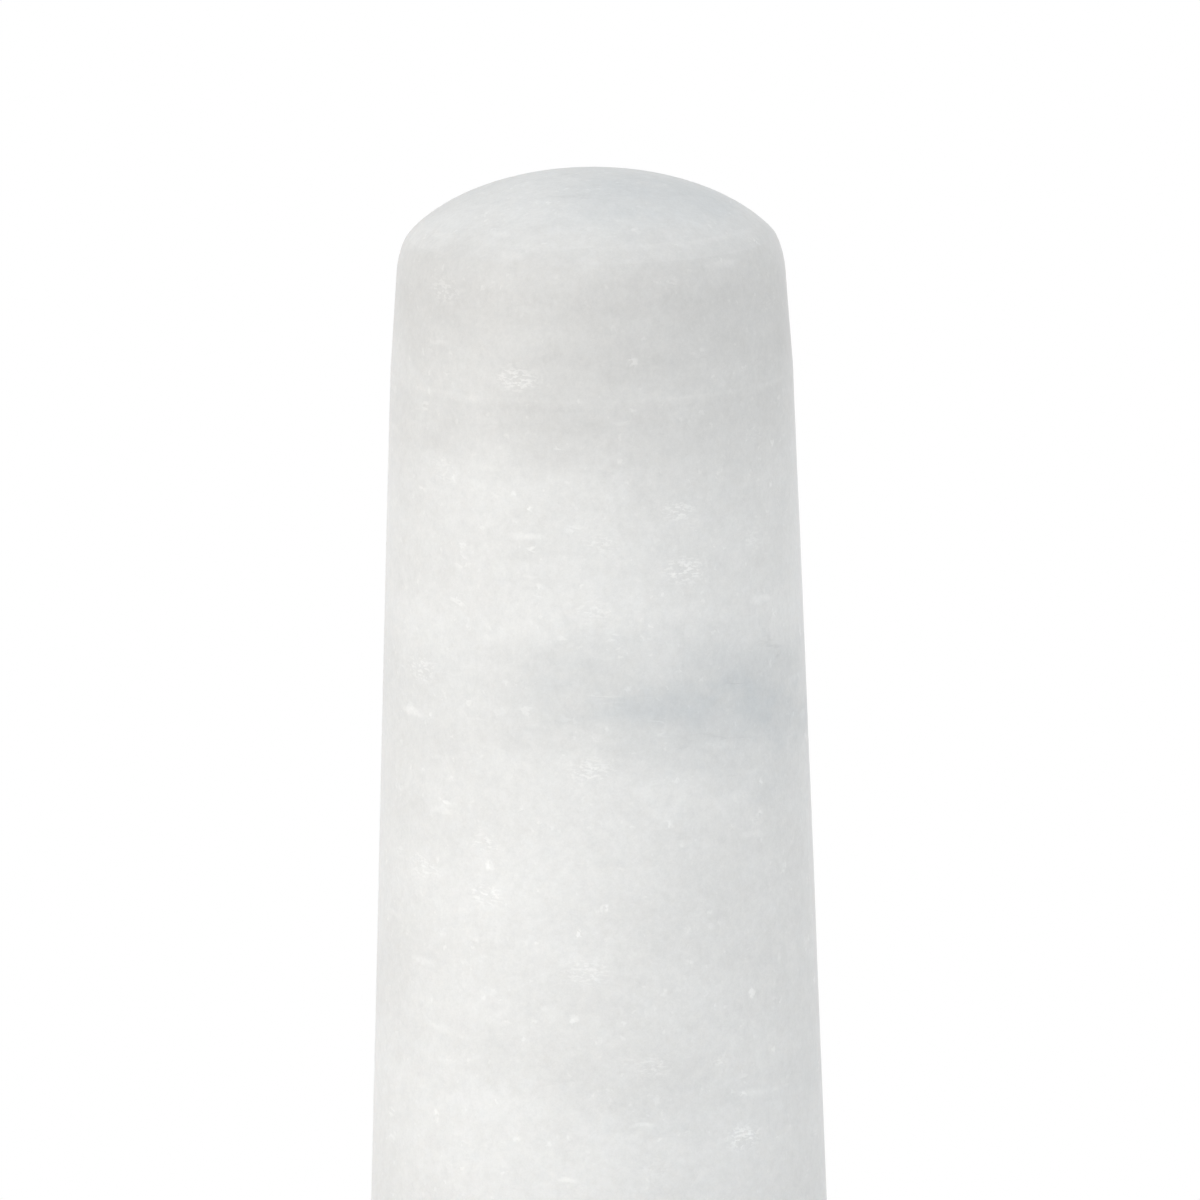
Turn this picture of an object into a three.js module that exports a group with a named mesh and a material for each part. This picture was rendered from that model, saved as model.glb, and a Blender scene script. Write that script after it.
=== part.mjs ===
// Marble grinding bowl and pestle, turned from solid stone, on four stick-on foot pads.
// Millimetres, +Z up. The origin is on the table, under the middle of the bowl.
// The pestle stands upright in the bowl on its flat tip and lifts straight out.

import * as THREE from "three";

// Bowl, heights measured from its stone underside
const BOWL_HEIGHT = 80;
const RIM_DIAMETER = 124;
const FOOT_DIAMETER = 82;
const FOOT_ROUND = 4;
const LIP_WIDTH = 13;
const LIP_RISE = 4.5;
const FLOOR_THICKNESS = 20;

// Pestle, from its domed handle end down to its working end
const PESTLE_LENGTH = 155;
const CROWN_RISE = 5.1;
const SHOULDER_DIAMETER = 30.4;
const SHOULDER_ROUND = 6;
const COLLAR_HEIGHT = 12.1;
const COLLAR_DIAMETER = 32;
const HEAD_DIAMETER = 40;
const HEAD_ROUND_HEIGHT = 15.5;
const TIP_FLAT_DIAMETER = 16;

// Where the pestle stands in the bowl
const SEAT_MARGIN = 4;
const SEAT_CLEARANCE = 0.2;

// Foot pads
const PAD_COUNT = 4;
const PAD_DIAMETER = 12;
const PAD_THICKNESS = 2;
const PAD_EDGE = 0.5;
const PAD_INSET = 2;
const FIRST_PAD_ANGLE = Math.PI / 4;

// Facets round the axis, and steps along each curve of an outline
const BOWL_FACETS = 64;
const PESTLE_FACETS = 56;
const PAD_FACETS = 28;
const LONG_CURVE_STEPS = 12;
const LIP_STEPS = 10;
const ROUND_STEPS = 5;

const marble = new THREE.MeshStandardMaterial({ color: 0xe9eae8, roughness: 0.32, metalness: 0 });
const honedMarble = new THREE.MeshStandardMaterial({ color: 0xe6e7e5, roughness: 0.4, metalness: 0 });
const rubber = new THREE.MeshStandardMaterial({ color: 0x8d8f8e, roughness: 0.85, metalness: 0 });

const point = (radius, height) => new THREE.Vector2(radius, height);

// Points along an ellipse with axes across and up, from one angle to another, ends included.
// A circle has two equal axes. Angles run anticlockwise from the direction away from the turning axis.
function curve(centre, across, up, fromAngle, toAngle, steps) {
  return Array.from({ length: steps + 1 }, (_, i) => {
    const angle = fromAngle + ((toAngle - fromAngle) * i) / steps;
    return point(centre.x + across * Math.cos(angle), centre.y + up * Math.sin(angle));
  });
}

const arc = (centre, radius, fromAngle, toAngle, steps) =>
  curve(centre, radius, radius, fromAngle, toAngle, steps);

// An outline that starts and ends on the axis, listed upwards on the outside, turned about +Z.
function turned(outline, facets) {
  return new THREE.LatheGeometry(outline, facets).rotateX(Math.PI / 2);
}

// The outside bulges as one arc that is upright under the lip. The lip is half an ellipse,
// and the hollow is a quarter of an ellipse that runs out into a flat seat for the pestle.
function bowlOutline() {
  const rim = RIM_DIAMETER / 2;
  const foot = FOOT_DIAMETER / 2;
  const lipFoot = BOWL_HEIGHT - LIP_RISE;
  const flare = rim - foot;
  const wallRadius = (flare ** 2 + lipFoot ** 2) / (2 * flare);
  const wallCentre = point(rim - wallRadius, lipFoot);

  const footReach = wallRadius - FOOT_ROUND;
  const wallStart = Math.asin((FOOT_ROUND - lipFoot) / footReach);
  const footCentre = point(wallCentre.x + footReach * Math.cos(wallStart), FOOT_ROUND);

  const lipCentre = point(rim - LIP_WIDTH / 2, lipFoot);
  const seat = TIP_FLAT_DIAMETER / 2 + SEAT_MARGIN;
  const hollowCentre = point(seat, lipFoot);
  const hollowReach = rim - LIP_WIDTH - seat;
  const hollowDepth = lipFoot - FLOOR_THICKNESS;

  return [
    point(0, 0),
    ...arc(footCentre, FOOT_ROUND, -Math.PI / 2, wallStart, ROUND_STEPS),
    ...arc(wallCentre, wallRadius, wallStart, 0, LONG_CURVE_STEPS).slice(1),
    ...curve(lipCentre, LIP_WIDTH / 2, LIP_RISE, 0, Math.PI, LIP_STEPS).slice(1),
    ...curve(hollowCentre, hollowReach, hollowDepth, 0, -Math.PI / 2, LONG_CURVE_STEPS).slice(1),
    point(0, FLOOR_THICKNESS),
  ];
}

// From the flat tip up: a rounded working end, a straight tapering shaft up to the turned line
// under the collar, the steeper collar, a small round and the domed crown.
function pestleOutline() {
  const shoulder = point(SHOULDER_DIAMETER / 2, PESTLE_LENGTH - CROWN_RISE);
  const collar = point(COLLAR_DIAMETER / 2, shoulder.y - COLLAR_HEIGHT);
  const tip = TIP_FLAT_DIAMETER / 2;
  const headCentre = point(tip, HEAD_ROUND_HEIGHT);

  const crownRadius = (shoulder.x ** 2 + CROWN_RISE ** 2) / (2 * CROWN_RISE);
  const crownCentre = point(0, PESTLE_LENGTH - crownRadius);

  // The round touches the collar's side and the crown from inside.
  const side = collar.clone().sub(shoulder).normalize();
  const inward = point(side.y, -side.x);
  const inside = shoulder.clone().addScaledVector(inward, SHOULDER_ROUND);
  const offset = inside.clone().sub(crownCentre);
  const along = offset.dot(side);
  const reach = crownRadius - SHOULDER_ROUND;
  const slide = -along - Math.sqrt(along ** 2 - offset.lengthSq() + reach ** 2);
  const roundCentre = inside.addScaledVector(side, slide);
  const roundStart = Math.atan2(-inward.y, -inward.x);
  const crownStart = Math.atan2(roundCentre.y - crownCentre.y, roundCentre.x);

  return [
    point(0, 0),
    ...curve(headCentre, HEAD_DIAMETER / 2 - tip, HEAD_ROUND_HEIGHT, -Math.PI / 2, 0, LONG_CURVE_STEPS),
    collar,
    ...arc(roundCentre, SHOULDER_ROUND, roundStart, crownStart, ROUND_STEPS),
    ...arc(crownCentre, crownRadius, crownStart, Math.PI / 2, LONG_CURVE_STEPS).slice(1, -1),
    point(0, PESTLE_LENGTH),
  ];
}

// A flat disc with its lower edge broken.
function padOutline() {
  const radius = PAD_DIAMETER / 2;
  return [
    point(0, 0),
    point(radius - PAD_EDGE, 0),
    point(radius, PAD_EDGE),
    point(radius, PAD_THICKNESS),
    point(0, PAD_THICKNESS),
  ];
}

function bowl() {
  const mesh = new THREE.Mesh(turned(bowlOutline(), BOWL_FACETS), honedMarble);
  mesh.name = "bowl";
  mesh.position.z = PAD_THICKNESS;
  return mesh;
}

function pestle() {
  const mesh = new THREE.Mesh(turned(pestleOutline(), PESTLE_FACETS), marble);
  mesh.name = "pestle";
  mesh.position.z = PAD_THICKNESS + FLOOR_THICKNESS + SEAT_CLEARANCE;
  return mesh;
}

function footPads() {
  const pads = new THREE.Group();
  const circle = FOOT_DIAMETER / 2 - FOOT_ROUND - PAD_INSET - PAD_DIAMETER / 2;
  for (let i = 0; i < PAD_COUNT; i++) {
    const angle = FIRST_PAD_ANGLE + (2 * Math.PI * i) / PAD_COUNT;
    const mesh = new THREE.Mesh(turned(padOutline(), PAD_FACETS), rubber);
    mesh.name = `foot_pad_${i + 1}`;
    mesh.position.set(circle * Math.cos(angle), circle * Math.sin(angle), 0);
    pads.add(mesh);
  }
  return pads;
}

const grindingBowl = new THREE.Group();
grindingBowl.add(bowl(), pestle(), footPads());

export default grindingBowl;
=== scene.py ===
"""Marble grinding bowl and pestle: turned stone surfaces, stone and rubber finishes, and a plain stage."""

import itertools
import math

import bpy
import numpy as np
from bpy.props import FloatProperty, FloatVectorProperty, IntProperty, PointerProperty
from mathutils import Matrix, Vector


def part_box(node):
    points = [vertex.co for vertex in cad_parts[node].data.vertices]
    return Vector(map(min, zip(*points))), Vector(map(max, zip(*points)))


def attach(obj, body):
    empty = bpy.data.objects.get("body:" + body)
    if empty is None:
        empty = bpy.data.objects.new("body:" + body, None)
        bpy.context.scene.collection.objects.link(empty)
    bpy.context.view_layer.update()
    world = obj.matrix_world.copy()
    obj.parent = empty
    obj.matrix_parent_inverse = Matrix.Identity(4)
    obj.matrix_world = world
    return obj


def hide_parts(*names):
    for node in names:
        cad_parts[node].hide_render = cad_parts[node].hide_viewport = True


bl_info = {
    "name": "Marble Grinding Bowl",
    "version": (1, 0, 0),
    "blender": (4, 5, 0),
    "location": "3D View > Sidebar > Stone Ware",
    "description": "A turned marble bowl and pestle on rubber pads, with a plain studio stage",
    "category": "Mesh",
}

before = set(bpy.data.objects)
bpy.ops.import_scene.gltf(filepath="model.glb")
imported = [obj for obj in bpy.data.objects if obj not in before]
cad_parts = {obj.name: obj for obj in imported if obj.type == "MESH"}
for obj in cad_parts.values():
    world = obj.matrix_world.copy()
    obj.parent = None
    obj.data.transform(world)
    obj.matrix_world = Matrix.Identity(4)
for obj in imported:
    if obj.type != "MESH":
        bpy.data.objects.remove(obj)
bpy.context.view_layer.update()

MM = 0.001
FULL_TURN = 2.0 * math.pi
QUARTER_TURN = math.pi / 2
PAD_NODES = sorted(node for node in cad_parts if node.startswith("foot_pad"))


# Properties

def length(name, description, default):
    """A length that a user can change, in metres."""
    return FloatProperty(name=name, description=description, default=default, min=0.0, precision=5,
                         subtype="DISTANCE", unit="LENGTH")


def angle(name, description, degrees):
    """An angle that a user can change, given here in degrees."""
    return FloatProperty(name=name, description=description, default=math.radians(degrees),
                         subtype="ANGLE", unit="ROTATION")


def colour(name, description, default):
    """A colour that a user can change, in linear light."""
    return FloatVectorProperty(name=name, description=description, default=default, size=3,
                               min=0.0, max=1.0, subtype="COLOR")


def share(name, description, default):
    """A factor from nought to one that a user can change."""
    return FloatProperty(name=name, description=description, default=default, min=0.0, max=1.0,
                         subtype="FACTOR")


def level(name, description, default):
    """A strength of light that a user can change, where one is white."""
    return FloatProperty(name=name, description=description, default=default, min=0.0)


class PestleShape(bpy.types.PropertyGroup):
    """Sizes of the pestle that its box doesn't give"""

    crown_rise: length("Crown Rise", "Height of the dome above its edge", 5.16 * MM)
    crown_reach: length("Crown Reach", "How far out the dome's ellipse would go", 16.5 * MM)
    edge_diameter: length("Edge Diameter", "Across the edge where the dome meets the shoulder", 29.25 * MM)
    sharp_edge: length("Sharp Edge", "Half width of the edge on its sharper side", 0.3 * MM)
    blunt_edge: length("Blunt Edge", "Half width of the edge on its blunter side", 0.9 * MM)
    ring_inset: length("Ring Inset", "From the edge in to a faint ring on the dome", 1.6 * MM)
    shoulder_angle: angle("Shoulder Angle", "How far the shoulder leans in at the edge", 26.5)
    shoulder_round: length("Shoulder Round", "Radius between the edge and the collar", 7.5 * MM)
    collar_height: length("Collar Height", "From the edge down to the turned line", 11.04 * MM)
    collar_diameter: length("Collar Diameter", "Across the turned line", 31.9 * MM)
    head_height: length("Head Height", "Height of the rounded working end", 15.5 * MM)
    tip_diameter: length("Tip Diameter", "Flat that the pestle stands on", 16.0 * MM)
    line_step: length("Line Step", "How far the collar stands proud at the turned line", 0.015 * MM)
    line_width: length("Line Width", "Half width of the step at the turned line", 0.35 * MM)
    swell: length("Swell", "How far the shaft bulges at most", 0.04 * MM)
    waviness: length("Waviness", "Unevenness left by polishing by hand", 0.03 * MM)


class BowlShape(bpy.types.PropertyGroup):
    """Sizes of the bowl that its box doesn't give"""

    foot_diameter: length("Foot Diameter", "Where the wall would meet the underside", 82.0 * MM)
    foot_round: length("Foot Round", "Radius at the edge of the underside", 4.0 * MM)
    lip_width: length("Lip Width", "Thickness of the wall at the lip", 13.0 * MM)
    lip_rise: length("Lip Rise", "Height of the rounded lip", 4.5 * MM)
    floor_thickness: length("Floor Thickness", "Stone under the hollow", 20.0 * MM)
    seat_diameter: length("Seat Diameter", "Flat in the floor of the hollow", 24.0 * MM)
    line_drop: length("Line Drop", "From the lip's outer edge down to the turned line", 11.0 * MM)
    line_depth: length("Line Depth", "Depth of the turned line", 0.1 * MM)
    line_width: length("Line Width", "Half width of the turned line", 0.25 * MM)
    waviness: length("Waviness", "Unevenness left by polishing by hand", 0.06 * MM)


class PadShape(bpy.types.PropertyGroup):
    """Sizes of the foot pads that their boxes don't give"""

    edge_round: length("Edge Round", "Radius of the pad's lower edge", 0.6 * MM)
    top_round: length("Top Round", "Radius of the pad's upper edge", 0.2 * MM)


class StoneLook(bpy.types.PropertyGroup):
    """Colours and polish of the marble and the rubber"""

    light: colour("Light Stone", "Clean white marble", (0.850, 0.842, 0.832))
    cloud_and_painted_light: colour("Clouded Stone", "Warm grey clouds", (0.644, 0.634, 0.623))
    vein: colour("Vein", "Cool grey veins", (0.624, 0.640, 0.651))
    rubber: colour("Rubber", "Foot pads", (0.055, 0.057, 0.058))
    polished: share("Polished Roughness", "Roughness of the stone under its polish", 0.34)
    honed: share("Honed Roughness", "Roughness of the working faces", 0.6)
    polish: share("Polish", "Weight of the polish on the outside", 0.15)
    polish_roughness: share("Polish Roughness", "Roughness of the polish itself", 0.15)
    glow_depth: length("Glow Depth", "How far light wanders inside the stone", 2.5 * MM)


class StageLook(bpy.types.PropertyGroup):
    """Camera, light and floor"""

    view_distance: length("View Distance", "From the camera to the pestle's axis", 2.0)
    view_elevation: angle("View Elevation", "Height of the camera above the horizon", 10.0)
    view_roll: angle("View Roll", "Turn of the camera about its own axis", -0.48)
    view_width: length("View Width", "Width of the picture at the pestle's axis", 95.2 * MM)
    view_drop: length("View Drop", "From the crown's top down to the picture's middle", 34.47 * MM)
    view_aside: length("View Aside", "From the axis to the picture's middle", 0.49 * MM)
    ambient: colour("Ambient", "Colour of the light from all round", (0.975, 0.995, 1.0))
    ambient_top: colour("Ambient Top", "Colour of the light from above", (0.942, 0.978, 1.0))
    ambient_right: colour("Ambient Right", "Colour of the light from the right", (0.945, 0.98, 1.0))
    ambient_front: level("Ambient Front", "Light from the camera's side", 1.06)
    ambient_side: level("Ambient Side", "Light from both sides", 0.0)
    ambient_back: level("Ambient Back", "Light from behind the object", 0.9)
    ambient_over: level("Ambient Over", "Light from above", 0.97)
    key: colour("Key", "Colour of the soft box", (1.0, 0.94, 0.86))
    key_power: FloatProperty(name="Key Power", description="Power of the soft box", default=2.0,
                             min=0.0, subtype="POWER", unit="POWER")
    key_azimuth: angle("Key Azimuth", "Soft box's place to the left of the camera", 60.0)
    key_distance: length("Key Distance", "From the axis to the soft box", 0.9)
    key_height: length("Key Height", "Height of the soft box's middle", 0.36)
    key_width: length("Key Width", "Width of the soft box", 0.5)
    key_length: length("Key Length", "Height of the soft box itself", 0.6)
    floor: colour("Floor", "Colour of the floor", (0.875, 0.865, 0.855))
    floor_drop: length("Floor Drop", "Room between the foot pads and the floor", 0.05 * MM)
    floor_radius: length("Floor Radius", "Where the floor has faded to white", 0.45)
    floor_spokes: IntProperty(name="Floor Spokes", description="Corners round the floor", default=96, min=8)


class WareSettings(bpy.types.PropertyGroup):
    """All settings of the bowl and pestle"""

    pestle: PointerProperty(type=PestleShape)
    bowl: PointerProperty(type=BowlShape)
    pads: PointerProperty(type=PadShape)
    stone: PointerProperty(type=StoneLook)
    stage: PointerProperty(type=StageLook)


# Outlines, as rows of radius and height

def curve(centre, across, up, start, stop, count):
    """Points on an ellipse: its centre, plus across times the cosine and up times the sine of an angle that
    runs evenly from start to stop."""
    turn = np.linspace(start, stop, count)
    return np.stack([centre[0] + across * np.cos(turn), centre[1] + up * np.sin(turn)], axis=1)


def arc(centre, radius, start, stop, count):
    """Points on a circle, spaced evenly by angle from start to stop."""
    return curve(centre, radius, radius, start, stop, count)


def straight(start, stop, count):
    """Points spaced evenly from start to stop."""
    return np.linspace(start, stop, count)


def joined(*stretches):
    """One outline from stretches that end where the next one starts."""
    return np.concatenate([stretches[0], *(stretch[1:] for stretch in stretches[1:])])


def unit(vector):
    """A vector of the same direction and of length one."""
    return vector / np.linalg.norm(vector)


def outward(outline):
    """Unit normals of an outline that goes up on the outside: tangents turned a quarter to the right."""
    tangent = np.gradient(outline, axis=0)
    normal = np.stack([tangent[:, 1], -tangent[:, 0]], axis=1)
    return normal / np.linalg.norm(normal, axis=1, keepdims=True)


def spoke_angles(spokes):
    """Angles about +Z, spaced evenly over a full turn, from +X on."""
    return np.arange(spokes) * (FULL_TURN / spokes)


def turned(outline, spokes):
    """Radius and height of an outline's points on every spoke, as two grids of points by spokes."""
    return np.repeat(outline[:, :1], spokes, axis=1), np.repeat(outline[:, 1:], spokes, axis=1)


def ring_points(radius, height):
    """Points of rings about +Z. Ring i and spoke j hold the point at radius[i, j], at height[i, j] and at
    an angle of j spokes."""
    turn = spoke_angles(radius.shape[1])
    return np.stack([radius * np.cos(turn), radius * np.sin(turn), height], axis=-1).reshape(-1, 3)


def eased(value, start, stop):
    """Nought at start and one at stop, with a smooth rise between them."""
    t = np.clip((value - start) / (stop - start), 0.0, 1.0)
    return t * t * (3.0 - 2.0 * t)


def bump(value, centre, width):
    """A bell curve that is one at its centre."""
    return np.exp(-((value - centre) / width) ** 2)


def soft_noise(points, cell, seed):
    """Smooth random values from minus one to one: random numbers on a lattice of cells, blended between
    each cell's eight corners with eased weights."""
    place = (points - points.min(axis=0)) / cell
    corner = np.floor(place).astype(int)
    t = eased(place - corner, 0.0, 1.0)
    lattice = np.random.default_rng(seed).uniform(-1.0, 1.0, corner.max(axis=0) + 2)
    value = np.zeros(len(points))
    for step in itertools.product((0, 1), repeat=3):
        weight = np.prod(np.where(step, t, 1.0 - t), axis=1)
        value += weight * lattice[tuple((corner + step).T)]
    return value


def pushed(outline, push):
    """Radius and height of the points of a turned grid: the outline's own, moved along its normals."""
    normal = outward(outline)
    return outline[:, :1] + normal[:, :1] * push, outline[:, 1:] + normal[:, 1:] * push


# Unevenness of polishing by hand: how wide its dips are, the fine ones' share, and the fade at a pole
BROAD_DIPS = 11.0 * MM
FINE_DIPS = 3.5 * MM
FINE_SHARE = 0.2
POLE_FADE = 4.0 * MM


def hand_finish(outline, spokes, size, seed):
    """Unevenness of a surface finished by hand, on a grid of the outline's points by spokes: broad noise
    plus a share of fine noise, which fade out on the axis so that the poles stay whole."""
    radius, height = turned(outline, spokes)
    points = ring_points(radius, height)
    broad = soft_noise(points, BROAD_DIPS, seed)
    fine = soft_noise(points, FINE_DIPS, seed + 1)
    uneven = (broad + FINE_SHARE * fine).reshape(radius.shape)
    return size * uneven * eased(radius, 0.0, POLE_FADE)


# Meshes

def turned_piece(name, radius, height, ends, values):
    """A closed piece of rings about +Z, with its points as ring_points lays them out. The first and last
    rings close on the axis at the two heights in ends. values gives each named point attribute, ring by
    ring."""
    rings, spokes = radius.shape
    poles = [[0.0, 0.0, ends[0]], [0.0, 0.0, ends[1]]]
    points = np.concatenate([ring_points(radius, height), poles])

    index = np.arange(rings * spokes).reshape(rings, spokes)
    after = np.roll(index, -1, axis=1)
    quads = np.stack([index[:-1], after[:-1], after[1:], index[1:]], axis=-1).reshape(-1, 4)
    low_pole, high_pole = len(points) - 2, len(points) - 1
    low_fan = np.stack([np.full(spokes, low_pole), after[0], index[0]], axis=-1)
    high_fan = np.stack([np.full(spokes, high_pole), index[-1], after[-1]], axis=-1)
    corners = np.concatenate([quads.ravel(), low_fan.ravel(), high_fan.ravel()])
    sides = np.repeat([4, 3], [len(quads), 2 * spokes])

    mesh = bpy.data.meshes.new(name)
    mesh.vertices.add(len(points))
    mesh.vertices.foreach_set("co", points.ravel())
    mesh.loops.add(len(corners))
    mesh.loops.foreach_set("vertex_index", corners)
    mesh.polygons.add(len(sides))
    mesh.polygons.foreach_set("loop_start", np.cumsum(sides) - sides)
    mesh.update(calc_edges=True)
    mesh.polygons.foreach_set("use_smooth", np.ones(len(sides), dtype=bool))
    for label, ring_values in values.items():
        spread = np.repeat(ring_values, spokes)
        spread = np.concatenate([spread, [ring_values[0], ring_values[-1]]])
        mesh.attributes.new(label, "FLOAT", "POINT").data.foreach_set("value", spread)
    mesh.validate()

    piece = bpy.data.objects.new(name, mesh)
    bpy.context.collection.objects.link(piece)
    return piece


# The pestle's surface, with the points along each stretch of its outline

PESTLE_SPOKES = 320
PESTLE_SEED = 11
TIP_POINTS = 12
HEAD_POINTS = 44
SHAFT_POINTS = 96
LINE_POINTS = 10
COLLAR_POINTS = 34
SHOULDER_POINTS = 40
EDGE_POINTS = 18
DOME_POINTS = 42

# How much of the dome's ellipse, next to its edge, has closer points, in radians
EDGE_TURN = 0.12

# Where the step fades out above the turned line, and where the outer dome, painted lighter for the light
# from above, fades back away from its edge
STEP_FADE = (1.0 * MM, 6.0 * MM)
DOME_FADE = (1.0 * MM, 5.0 * MM)

# Rings at the turned line and on the dome, laid into the colour: a painted highlight along the line's upper
# edge, painted shade along its lower edge and a faint bright ring on the dome. Half widths are in the
# line's, and strengths in its painted highlight's
BRIGHT_WIDTH = 0.5
PAINTED_SHADE_WIDTH = 0.6
PAINTED_SHADE_STRENGTH = 0.75
DOME_STRENGTH = 1.6


def pestle_outline(shape, low, high, head_radius):
    """From the tip's middle to the crown's top: a flat, a quarter of an ellipse, a straight taper up to the
    turned line, the collar's steeper taper, a round that the collar touches, and a dome that is part of an
    ellipse and meets the round at an edge. Returns the outline, three points on it, which are the head's
    top, the turned line and the edge, and the angle that the outline turns through at the edge."""
    tip = shape.tip_diameter / 2
    edge = np.array([shape.edge_diameter / 2, high - shape.crown_rise])
    line = np.array([shape.collar_diameter / 2, edge[1] - shape.collar_height])

    lean = shape.shoulder_angle
    round_centre = edge - shape.shoulder_round * np.array([math.cos(lean), math.sin(lean)])
    away = line - round_centre
    touch = math.atan2(away[1], away[0]) + math.acos(shape.shoulder_round / np.linalg.norm(away))
    shoulder = arc(round_centre, shape.shoulder_round, touch, lean, SHOULDER_POINTS)

    start = math.acos(edge[0] / shape.crown_reach)
    crown_up = shape.crown_rise / (1.0 - math.sin(start))
    ellipse = (0.0, high - crown_up), shape.crown_reach, crown_up
    dome_edge = curve(*ellipse, start, start + EDGE_TURN, EDGE_POINTS)
    dome = curve(*ellipse, start + EDGE_TURN, QUARTER_TURN, DOME_POINTS)
    kink = math.atan(shape.crown_reach / crown_up * math.tan(start)) - lean

    head = curve((tip, low + shape.head_height), head_radius - tip, shape.head_height,
                 -QUARTER_TURN, 0.0, HEAD_POINTS)
    fine = 2 * shape.line_width
    below = line - fine * unit(line - head[-1])
    above = line + fine * unit(shoulder[0] - line)
    outline = joined(straight((tip / TIP_POINTS, low), (tip, low), TIP_POINTS), head,
                     straight(head[-1], below, SHAFT_POINTS), straight(below, line, LINE_POINTS),
                     straight(line, above, LINE_POINTS), straight(above, shoulder[0], COLLAR_POINTS),
                     shoulder, dome_edge, dome[:-1])
    return outline, (head[-1], line, edge), kink


def pestle_surface(shape, low, high, head_radius):
    """The outline turned about +Z. At the turned line the collar stands proud by a small eased step. The
    shaft swells by the sine of half a turn times its height cubed, so most of all in its upper part. The
    dome's edge is rounded off by a parabola, which is wide only towards the -X side. Also returns painted
    light for the rings, to go into the stone's colour: a painted highlight along the turned line's upper
    edge, painted shade along its lower edge, the outer dome painted lighter for the light from above, and a
    faint bright ring on the dome."""
    outline, (head, line, edge), kink = pestle_outline(shape, low, high, head_radius)
    turn = spoke_angles(PESTLE_SPOKES)
    heights = outline[:, 1]
    above_line = heights - line[1]

    share_up = np.clip((heights - head[1]) / (line[1] - head[1]), 0.0, 1.0)
    swell = shape.swell * np.sin(math.pi * share_up ** 3)
    proud = eased(above_line, -shape.line_width, shape.line_width) * (1.0 - eased(above_line, *STEP_FADE))
    push = hand_finish(outline, PESTLE_SPOKES, shape.waviness, PESTLE_SEED)
    push = push + (swell + shape.line_step * proud)[:, None]

    reach = np.linalg.norm(outline - edge, axis=1)
    width = shape.sharp_edge + (shape.blunt_edge - shape.sharp_edge) * ((1.0 - np.cos(turn)) / 2) ** 3
    push = push - math.tan(kink / 2) * np.clip(width - reach[:, None], 0.0, None) ** 2 / (2 * width)

    # Painted highlight along the turned line's upper edge and painted shade along its lower edge, in place
    # of the light that the small step catches and loses; the outer dome painted lighter for the light from
    # above, with a faint bright ring on it
    fine = BRIGHT_WIDTH * shape.line_width
    bright = bump(above_line, shape.line_width, fine)
    painted_shade_ring = bump(above_line, -shape.line_width, PAINTED_SHADE_WIDTH * shape.line_width)
    dome = DOME_STRENGTH * bump(reach, shape.ring_inset, fine) + 1.0 - eased(reach, *DOME_FADE)
    bruise_and_painted_light = bright - PAINTED_SHADE_STRENGTH * painted_shade_ring + dome * (heights > edge[1])
    return outline, *pushed(outline, push), bruise_and_painted_light


# The bowl's surface, with the points along each stretch of its outline

BOWL_SPOKES = 384
BOWL_SEED = 23
UNDERSIDE_POINTS = 16
FOOT_POINTS = 14
WALL_POINTS = 92
LIP_POINTS = 44
HOLLOW_POINTS = 70
SEAT_POINTS = 10

# Heights over which the unevenness fades in above the flat underside and above the flat seat
UNDERSIDE_FADE = 3.0 * MM
SEAT_FADE = 6.0 * MM


def bowl_outline(shape, low, high, rim_radius):
    """From the underside's middle, out and up the wall, over the lip and down the hollow to the seat's
    middle. The wall is one arc that stands upright under the lip, the lip half an ellipse and the hollow a
    quarter of one. Returns the outline and how many points lie before the hollow."""
    lip_foot = high - shape.lip_rise
    wall_height = lip_foot - low
    flare = rim_radius - shape.foot_diameter / 2
    wall_radius = (flare ** 2 + wall_height ** 2) / (2 * flare)
    wall_centre = (rim_radius - wall_radius, lip_foot)
    foot_reach = wall_radius - shape.foot_round
    wall_start = math.asin((shape.foot_round - wall_height) / foot_reach)
    foot_centre = (wall_centre[0] + foot_reach * math.cos(wall_start), low + shape.foot_round)

    seat = shape.seat_diameter / 2
    floor = low + shape.floor_thickness
    lip_centre = (rim_radius - shape.lip_width / 2, lip_foot)
    hollow_reach = rim_radius - shape.lip_width - seat

    foot = arc(foot_centre, shape.foot_round, -QUARTER_TURN, wall_start, FOOT_POINTS)
    wall = arc(wall_centre, wall_radius, wall_start, 0.0, WALL_POINTS)
    lip = curve(lip_centre, shape.lip_width / 2, shape.lip_rise, 0.0, math.pi, LIP_POINTS)
    hollow = curve((seat, lip_foot), hollow_reach, lip_foot - floor, 0.0, -QUARTER_TURN, HOLLOW_POINTS)
    underside = straight((foot_centre[0] / UNDERSIDE_POINTS, low), foot[0], UNDERSIDE_POINTS)
    outside = joined(underside, foot, wall, lip)
    outline = joined(outside, hollow, straight(hollow[-1], (seat / SEAT_POINTS, floor), SEAT_POINTS))
    return outline, len(outside)


def bowl_surface(shape, low, high, rim_radius):
    """The outline turned about +Z, uneven from polishing, with a shallow bell-shaped groove under the lip.
    The underside and the seat stay flat. Also returns how the groove shows."""
    outline, outside = bowl_outline(shape, low, high, rim_radius)
    line_height = high - shape.lip_rise - shape.line_drop
    rings = outline[:, 1:]
    on_outside = np.arange(len(outline))[:, None] < outside
    floor = low + shape.floor_thickness
    free = eased(rings, low, low + UNDERSIDE_FADE)
    free = free * np.where(on_outside, 1.0, eased(rings, floor, floor + SEAT_FADE))
    groove = bump(rings, line_height, shape.line_width) * on_outside
    push = hand_finish(outline, BOWL_SPOKES, shape.waviness, BOWL_SEED) * free
    push = push - shape.line_depth * groove
    return outline, outside, *pushed(outline, push), groove[:, 0]


# The foot pads' surface, with the points along each stretch of their outline

PAD_SPOKES = 64
FACE_POINTS = 8
LOWER_ROUND_POINTS = 8
SIDE_POINTS = 6
UPPER_ROUND_POINTS = 5


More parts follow.
